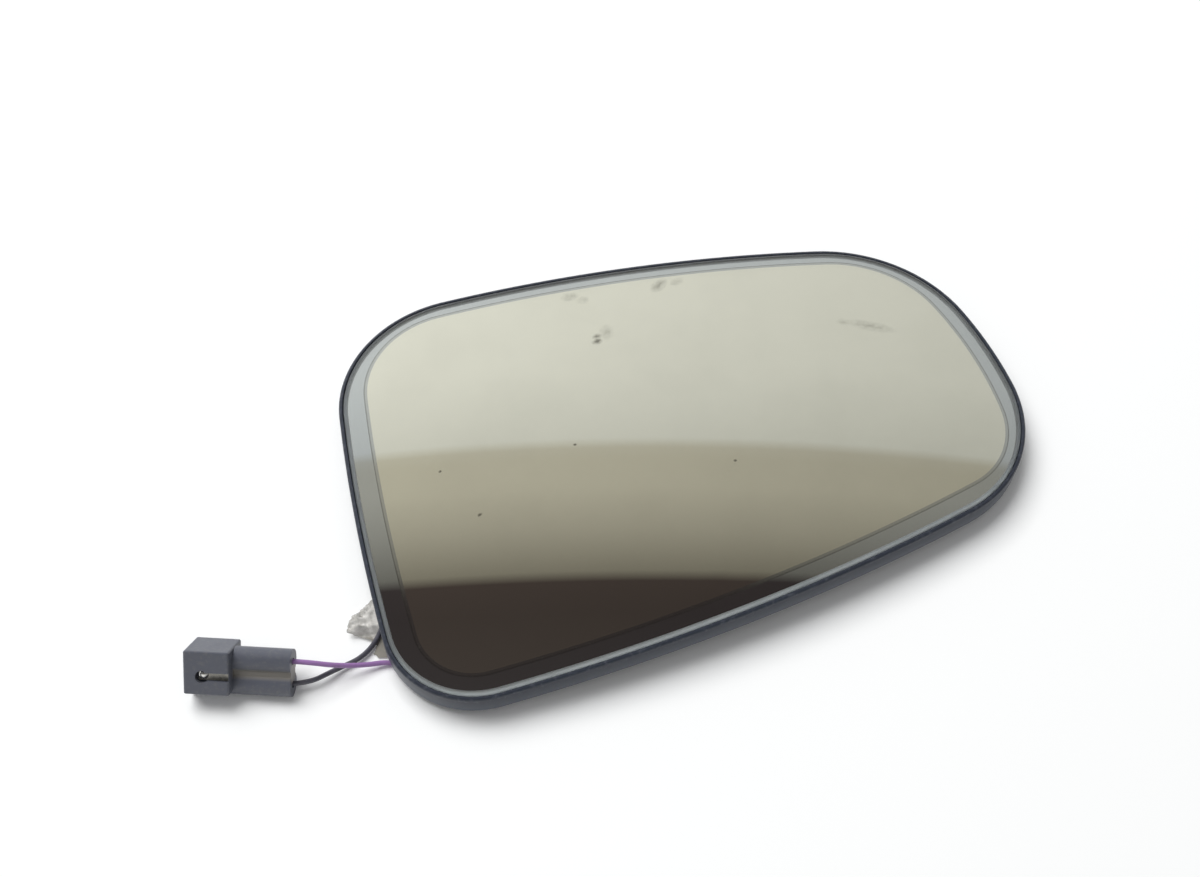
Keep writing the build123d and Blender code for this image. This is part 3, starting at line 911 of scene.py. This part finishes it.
@dataclass(frozen=True)
class DimmingCell:
    """Front plate with its ground edge, bright ring, seal line with a thin painted shade line, and mirror
    face of the dimming cell.

    The window's insets and corners follow the outline's sides. The coats reach into the front plate by
    the bond, outlines are drawn in steps, and the plates are cut into cells for a smooth dome.
    """

    # Slanted direction in which a band's faces are listed, so that no two are level.
    FACE_ORDER: ClassVar[Point] = (1.0, 1.37, 97.0)
    outline: RimOutline = RimOutline()
    dome: Dome = Dome()
    front_inset: float = 1.2
    front_thickness: float = 1.35
    edge_round: float = 1.1
    edge_segments: int = 6
    ring_inset: float = 1.45
    window: tuple[float, ...] = (6.0, 4.9, 7.3, 6.3)
    window_corners: tuple[float, ...] = (32.0, 26.0, 16.0, 25.0)
    seal_width: float = 1.0
    # Width of the thin darker band painted as shade between ring and seal.
    seal_line: float = 0.3
    coat_thickness: float = 0.14
    bond: float = 0.02
    step: float = 1.5
    cell: float = 5.0

    def window_arcs(self, inset: float) -> list[Arc]:
        """Gives the outline of the ring's window, moved in by the same amount all round."""
        insets = [side + inset for side in self.window]
        return self.outline.arcs(insets, [radius - inset for radius in self.window_corners])

    def coat_height(self) -> float:
        """Gives the height of the coated faces, bonded to the front plate's back with no air between."""
        return self.dome.front - self.front_thickness + self.bond

    def plate(self, section: Sequence[tuple[Sequence[Arc], float]]) -> bmesh.types.BMesh:
        """Makes a domed plate, whose edge takes the second finish.

        Args:
            section: Outlines and heights on the collar's axis, from its front face round its edge to its
                back face.

        Returns:
            The plate, in millimetres.
        """
        bm = bmesh.new()
        steps = [arc.steps(self.step) for arc in section[-1][0]]
        loops = [self.loop(bm, arcs, height, steps) for arcs, height in section]
        for edges, after in zip(loops, loops[1:]):
            for face in bmesh.ops.bridge_loops(bm, edges=edges + after)["faces"]:
                face.material_index = 1
        for edges in (loops[0], loops[-1]):
            for face in bmesh.ops.contextual_create(bm, geom=edges)["faces"]:
                face.material_index = 0
        count = math.ceil(max(side.reach for side in self.outline.sides) / self.cell)
        for k in range(-count, count + 1):
            for way in (Vector((1.0, 0.0, 0.0)), Vector((0.0, 1.0, 0.0))):
                whole = bm.verts[:] + bm.edges[:] + bm.faces[:]
                bmesh.ops.bisect_plane(bm, geom=whole, plane_co=way * (k * self.cell), plane_no=way)
        self.dome.lay(bm)
        bmesh.ops.recalc_face_normals(bm, faces=bm.faces[:])
        return bm

    def front_section(self) -> list[tuple[list[Arc], float]]:
        """Gives the front plate's section: a quarter round from its front face to its side.

        Returns:
            Outlines with their heights.
        """
        section = []
        for k in range(self.edge_segments + 1):
            angle = math.pi / 2 * k / self.edge_segments
            inset = self.front_inset + self.edge_round * (1.0 - math.sin(angle))
            height = self.dome.front - self.edge_round * (1.0 - math.cos(angle))
            section.append((self.outline.even(inset), height))
        return [*section, (self.outline.even(self.front_inset), self.dome.front - self.front_thickness)]

    def loop(
        self, bm: bmesh.types.BMesh, arcs: Sequence[Arc], height: float, steps: Sequence[int]
    ) -> list[bmesh.types.BMEdge]:
        """Adds a closed line along an outline, spun from one point.

        Args:
            bm: Mesh that takes the line.
            arcs: The outline.
            height: Height of the line on the collar's axis.
            steps: Steps of each arc.

        Returns:
            The line's edges.
        """
        known = set(bm.edges)
        first = arcs[0]
        way = Vector((math.cos(first.start), math.sin(first.start)))
        last = [bm.verts.new((*(first.centre + way * first.radius), height))]
        made = list(last)
        for arc, count in zip(arcs, steps):
            spun = bmesh.ops.spin(
                bm, geom=last, cent=arc.centre.to_3d(), axis=(0.0, 0.0, 1.0), angle=arc.sweep, steps=count,
                use_merge=False, use_duplicate=False,
            )
            last = [part for part in spun["geom_last"] if isinstance(part, bmesh.types.BMVert)]
            made += last
        bmesh.ops.weld_verts(bm, targetmap={last[0]: made[0]})
        return [edge for edge in bm.edges if edge not in known]

    def band(self, outer: Sequence[Arc], inner: Sequence[Arc]) -> bmesh.types.BMesh:
        """Makes a domed band between two outlines.

        Args:
            outer: Its outer outline.
            inner: Its inner outline, with as many arcs.

        Returns:
            The band, in millimetres.
        """
        bm = bmesh.new()
        steps = [arc.steps(self.step) for arc in outer]
        self.loop(bm, outer, self.coat_height(), steps)
        self.loop(bm, inner, self.coat_height(), steps)
        bmesh.ops.bridge_loops(bm, edges=bm.edges[:])
        self.dome.lay(bm)
        bmesh.ops.recalc_face_normals(bm, faces=bm.faces[:])
        if bm.faces[:][0].normal.z < 0:
            bmesh.ops.reverse_faces(bm, faces=bm.faces[:])
        bmesh.ops.solidify(bm, geom=bm.faces[:], thickness=self.coat_thickness)
        # Solidify lists its faces in a new order on each run.
        bm.faces.sort(key=lambda face: face.calc_center_median().dot(self.FACE_ORDER))
        return bm

    def build(self, finishes: Finishes) -> list[bpy.types.Object]:
        """Makes the cell's pieces.

        Args:
            finishes: The part's finishes.

        Returns:
            Front plate, ring, seal with its painted shade line, and mirror face.
        """
        ring = self.outline.even(self.ring_inset)
        window = self.window_arcs(0.0)
        line = self.window_arcs(self.seal_line)
        gel = self.window_arcs(self.seal_width)
        height = self.coat_height()
        front = self.plate(self.front_section())
        mirror = self.plate([(gel, height), (gel, height - self.coat_thickness)])
        clear = [finishes.glass, finishes.ground]
        # The mirror face has the same coat on its edge.
        mirrored = [finishes.mirror] * 2
        seal = ["seal_bead"]
        pieces = [
            finish_piece(front, "clear_front_plate", clear, ["front_glass"]),
            finish_piece(
                self.band(ring, window), "bright_border_ring", [finishes.ring], ["border_ring"]
            ),
            # A thin darker band: painted shade at the step between ring and seal.
            finish_piece(self.band(window, line), "seal_painted_shade_line", [finishes.seal_painted_shade], seal),
            finish_piece(self.band(line, gel), "seal_line", [finishes.seal], seal),
            finish_piece(mirror, "mirror_face", mirrored, ["dimming_gel"]),
        ]
        for piece in pieces:
            self.dome.smooth(piece)
        return pieces


@dataclass(frozen=True)
class FilmRemnant:
    """Torn, crumpled film that hangs from the plate's back, under the leads, and shows beside the rim."""

    UV_NAME: ClassVar[str] = "along_film"
    # Half of the flat grid, which is 1 wide and 1 high before it is bent.
    HALF: ClassVar[float] = 0.5
    # Levels of the noise at which the fraying, the folds and the small creases are read.
    FRAY_LEVEL: ClassVar[float] = 4.0
    FOLD_LEVEL: ClassVar[float] = 1.7
    CREASE_LEVEL: ClassVar[float] = 9.1
    # Places in X with the film's heights there, in its upper part and in its lower one.
    upper_section: tuple[tuple[float, float], ...] = (
        (-77.0, 3.45), (-80.0, 3.2), (-83.0, 2.3), (-86.0, 1.8), (-90.0, 1.75), (-92.0, 2.2), (-97.2, 2.6),
    )
    lower_section: tuple[tuple[float, float], ...] = (
        (-77.0, 3.35), (-80.0, 3.0), (-83.0, 1.5), (-86.0, 0.5), (-92.0, 0.4), (-97.2, 0.7),
    )
    # Where in Y the upper part passes into the lower one.
    step_down: Span = (-36.4, -38.0)
    # Places in Y with the X of the torn edge there.
    torn_edge: tuple[tuple[float, float], ...] = (
        (-27.5, -88.0), (-29.3, -90.4), (-32.0, -93.3), (-33.9, -95.6), (-35.4, -96.6), (-37.0, -97.0),
        (-38.3, -94.2), (-39.4, -91.8), (-41.4, -90.3), (-43.4, -91.0), (-44.8, -90.2), (-45.3, -87.0),
    )
    thickness: float = 0.09
    columns: int = 64
    rows: int = 64
    # How far the torn edge wanders, and how often in each millimetre.
    fray: float = 0.8
    fray_rate: float = 1.9
    # Height of the crumpling in all, width of a fold, and small creases across each fold.
    crumple: float = 1.3
    crease: float = 3.0
    creases: float = 2.6
    # Shares of that height: of the folds, of what they sink, and of the small creases.
    fold_share: float = 1.7
    sink_share: float = 0.45
    crease_share: float = 0.6
    # Where in X the film comes loose, over what length, and how crumpled it is before and lower down.
    loose_from: float = -89.2
    loosening: float = 3.0
    stuck_share: float = 0.12
    low_calm: float = 0.6
    floor: float = 0.25
    # Size and area of the film when flat, in metres and square metres.
    flat_size: Span = (0.0171, 0.0222)
    flat_area: float = 0.000325

    @staticmethod
    def between(points: Sequence[tuple[float, float]], key: float) -> float:
        """Reads a value off a chain of points.

        Args:
            points: Keys, which fall from point to point, with their values.
            key: Where to read.

        Returns:
            The value there, or at the nearer end of the chain.
        """
        for (k0, v0), (k1, v1) in zip(points, points[1:]):
            if key >= k1:
                return v0 + (v1 - v0) * clamped((k0 - key) / (k0 - k1))
        return points[-1][1]

    def place(self, reach: float, rise: float) -> Point:
        """Works out where a point of the flat film lies once it is bent, creased and frayed.

        Args:
            reach: Share of the way from the stuck end to the torn edge.
            rise: Share of the way from the low end to the high one.

        Returns:
            Its place, in millimetres.
        """
        high_y = self.torn_edge[0][0]
        low_y = self.torn_edge[-1][0]
        start = self.upper_section[0][0]
        y = low_y + (high_y - low_y) * rise
        frayed = noise.noise(Vector((0.0, y * self.fray_rate, self.FRAY_LEVEL))) * self.fray
        x = start + (self.between(self.torn_edge, y) + frayed - start) * reach
        low = clamped((self.step_down[0] - y) / (self.step_down[0] - self.step_down[1]))
        z = self.between(self.upper_section, x) * (1.0 - low) + self.between(self.lower_section, x) * low
        fold = noise.noise(Vector((x / self.crease, y / self.crease, self.FOLD_LEVEL)))
        fine = Vector((x / self.crease * self.creases, y / self.crease * self.creases, self.CREASE_LEVEL))
        share = abs(fold) * self.fold_share - self.sink_share + self.crease_share * noise.noise(fine)
        outside = clamped((self.loose_from - x) / self.loosening)
        loose = self.stuck_share + (1.0 - self.stuck_share) * outside
        lift = share * self.crumple * loose * (1.0 - self.low_calm * low)
        return (x, y, max(self.floor, z + lift))

    def build(self, finish: TornFilm) -> bpy.types.Object:
        """Makes the film from a grid.

        Args:
            finish: The film's finish.

        Returns:
            The film's object.
        """
        bm = bmesh.new()
        bmesh.ops.create_grid(bm, x_segments=self.columns, y_segments=self.rows, size=self.HALF)
        uv = bm.loops.layers.uv.new(self.UV_NAME)
        for face in bm.faces:
            for corner in face.loops:
                corner[uv].uv = (corner.vert.co.x + self.HALF, corner.vert.co.y + self.HALF)
        for vert in bm.verts:
            vert.co = self.place(vert.co.x + self.HALF, vert.co.y + self.HALF)
        piece = finish_piece(bm, "film_remnant", [finish], ["wire_tape"])
        piece.data.shade_smooth()
        shell = piece.modifiers.new("film_thickness", "SOLIDIFY")
        shell.thickness = self.thickness * MM
        shell.offset = 0.0
        return piece


@dataclass(frozen=True)
class CarriedSolids:
    """CAD pieces whose shape is right and which only need their finish."""

    finishes: Finishes

    def dress(self) -> None:
        """Gives each node its material."""
        f = self.finishes
        worn_by: dict[str, Finish] = {
            "rim_frame": f.rim,
            "back_plate": f.carrier,
            "adhesive_foam": f.foam,
            "heater_film": f.heater,
            "heater_tab_upper": f.tinned,
            "heater_tab_lower": f.tinned,
            "rear_glass": f.rear,
            "bus_clip_inner": f.strip,
            "bus_clip_lower": f.strip,
            "plug_housing": f.plug,
            "plug_spring": f.spring,
            "contact_black": f.tinned,
            "contact_purple": f.tinned,
        }
        for name, finish in worn_by.items():
            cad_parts[name].material_slots[0].material = finish.material()


@dataclass(frozen=True)
class Studio:
    """Pale table, one soft lamp, and plain cards round the table that show in the mirror."""

    HALF_TURN: ClassVar[float] = 180.0
    camera: PhotoCamera = PhotoCamera()
    floor_size: float = 2400.0
    floor_colour: str = "FBFCFC"
    # Light that the camera alone sees the table give off, and the level of the light from all round.
    glow: float = 0.03
    soft_light: float = 0.3
    lamp_place: Point = (-726.0, 1102.0, 2120.0)
    lamp_size: float = 1800.0
    lamp_power: float = 62.0
    # How much darker the cards are on the camera's right.
    side_slope: float = 0.5
    # Tones of the cards, by degrees from the far horizon over the top to the near one.
    cards: tuple[tuple[float, str], ...] = (
        (0.0, "F0F0EE"), (30.0, "EAEAE8"), (44.0, "E4E4E2"), (49.0, "DEDEDC"), (54.72, "CBCBC9"),
        (54.86, "B4B0A6"), (57.5, "B2AEA4"), (60.5, "9C988F"), (63.56, "77736B"), (63.72, "423A39"),
        (66.0, "3E3736"), (72.0, "433D3C"), (92.0, "545150"), (128.0, "454443"), (148.0, "D2D2D0"),
        (180.0, "F2F2F0"),
    )

    def floor(self) -> None:
        """Makes the table top, which looks near white to the camera and keeps the shadow."""
        bm = bmesh.new()
        bmesh.ops.create_grid(bm, x_segments=1, y_segments=1, size=self.floor_size / 2 * MM)
        mesh = bpy.data.meshes.new("table_top")
        bm.to_mesh(mesh)
        bm.free()
        table = bpy.data.objects.new("table_top", mesh)
        bpy.context.scene.collection.objects.link(table)
        # An even, matt white that takes soft shadows.
        made = bpy.data.materials.new("white laminate table")
        made.use_nodes = True
        tree = made.node_tree
        tree.nodes.clear()
        sight = add_node(tree, "ShaderNodeLightPath")
        seen = maths(tree, "MULTIPLY", sight.outputs["Is Camera Ray"], self.glow)
        matt = add_node(tree, "ShaderNodeBsdfDiffuse", {"Color": linear(self.floor_colour)})
        white = add_node(tree, "ShaderNodeEmission", links={"Strength": seen})
        mixed = add_node(tree, "ShaderNodeAddShader", links={0: matt.outputs[0], 1: white.outputs[0]})
        add_node(tree, "ShaderNodeOutputMaterial", links={"Surface": mixed.outputs[0]})
        mesh.materials.append(made)

    def lamp(self) -> None:
        """Hangs a square soft lamp that faces the mirror and doesn't show in it."""
        data = bpy.data.lights.new("soft_window", "AREA")
        data.shape = "SQUARE"
        data.size = self.lamp_size * MM
        data.energy = self.lamp_power
        lamp = bpy.data.objects.new("soft_window", data)
        lamp.location = Vector(self.lamp_place) * MM
        lamp.rotation_euler = (-lamp.location).to_track_quat("-Z", "Y").to_euler()
        lamp.visible_glossy = False
        lamp.visible_transmission = False
        bpy.context.scene.collection.objects.link(lamp)

    def world(self) -> None:
        """Makes the surroundings: soft light, white for the camera, and the cards for the mirror."""
        made = bpy.data.worlds.new("soft studio")
        bpy.context.scene.world = made
        made.use_nodes = True
        tree = made.node_tree
        tree.nodes.clear()
        turn = math.radians(self.camera.turn)
        forward = (math.sin(turn), math.cos(turn), 0.0)
        right = (math.cos(turn), -math.sin(turn), 0.0)
        way = add_node(tree, "ShaderNodeTexCoord").outputs["Generated"]
        ahead = add_node(tree, "ShaderNodeVectorMath", {"operation": "DOT_PRODUCT", 1: forward}, {0: way})
        aside = add_node(tree, "ShaderNodeVectorMath", {"operation": "DOT_PRODUCT", 1: right}, {0: way})
        up = add_node(tree, "ShaderNodeSeparateXYZ", links={0: way}).outputs["Z"]
        lift = maths(tree, "ARCTAN2", up, ahead.outputs["Value"])
        cards = add_node(tree, "ShaderNodeValToRGB", links={0: maths(tree, "DIVIDE", lift, math.pi)})
        ramp = cards.color_ramp.elements
        while len(ramp) < len(self.cards):
            ramp.new(1.0)
        for stop, (angle, colour) in zip(ramp, self.cards):
            stop.position = angle / self.HALF_TURN
            stop.color = linear(colour)
        slope = maths(tree, "MULTIPLY_ADD", aside.outputs["Value"], -self.side_slope, 1.0)
        sloped = add_node(
            tree, "ShaderNodeVectorMath", {"operation": "SCALE"}, {0: cards.outputs[0], "Scale": slope}
        )
        sight = add_node(tree, "ShaderNodeLightPath")
        mirrored = maths(
            tree, "MAXIMUM", sight.outputs["Is Glossy Ray"], sight.outputs["Is Transmission Ray"]
        )
        level = self.soft_light
        lit = add_node(
            tree, "ShaderNodeMix", {"data_type": "RGBA", MIX_A: (level, level, level, 1.0)},
            {"Factor": mirrored, MIX_B: sloped.outputs[0]},
        )
        shown = add_node(
            tree, "ShaderNodeMix", {"data_type": "RGBA", MIX_B: (1.0, 1.0, 1.0, 1.0)},
            {"Factor": sight.outputs["Is Camera Ray"], MIX_A: lit.outputs[MIX_RESULT]},
        )
        sky = add_node(tree, "ShaderNodeBackground", {"Strength": 1.0}, {"Color": shown.outputs[MIX_RESULT]})
        add_node(tree, "ShaderNodeOutputWorld", links={"Surface": sky.outputs[0]})

    def build(self) -> None:
        """Makes the table, the lamp and the surroundings."""
        self.floor()
        self.lamp()
        self.world()
        bpy.context.scene.view_settings.view_transform = "Standard"


def main() -> None:
    """Builds the camera, the leads, the pieces and the studio, in that order."""
    logging.basicConfig(level=logging.INFO, format="%(name)s: %(message)s")
    finishes = Finishes()
    camera = PhotoCamera()
    camera.build()
    pieces = Harness().build(finishes)
    pieces += DimmingCell().build(finishes)
    pieces.append(FilmRemnant().build(finishes.film))
    CarriedSolids(finishes).dress()
    Studio(camera).build()


if __name__ == "__main__":
    main()
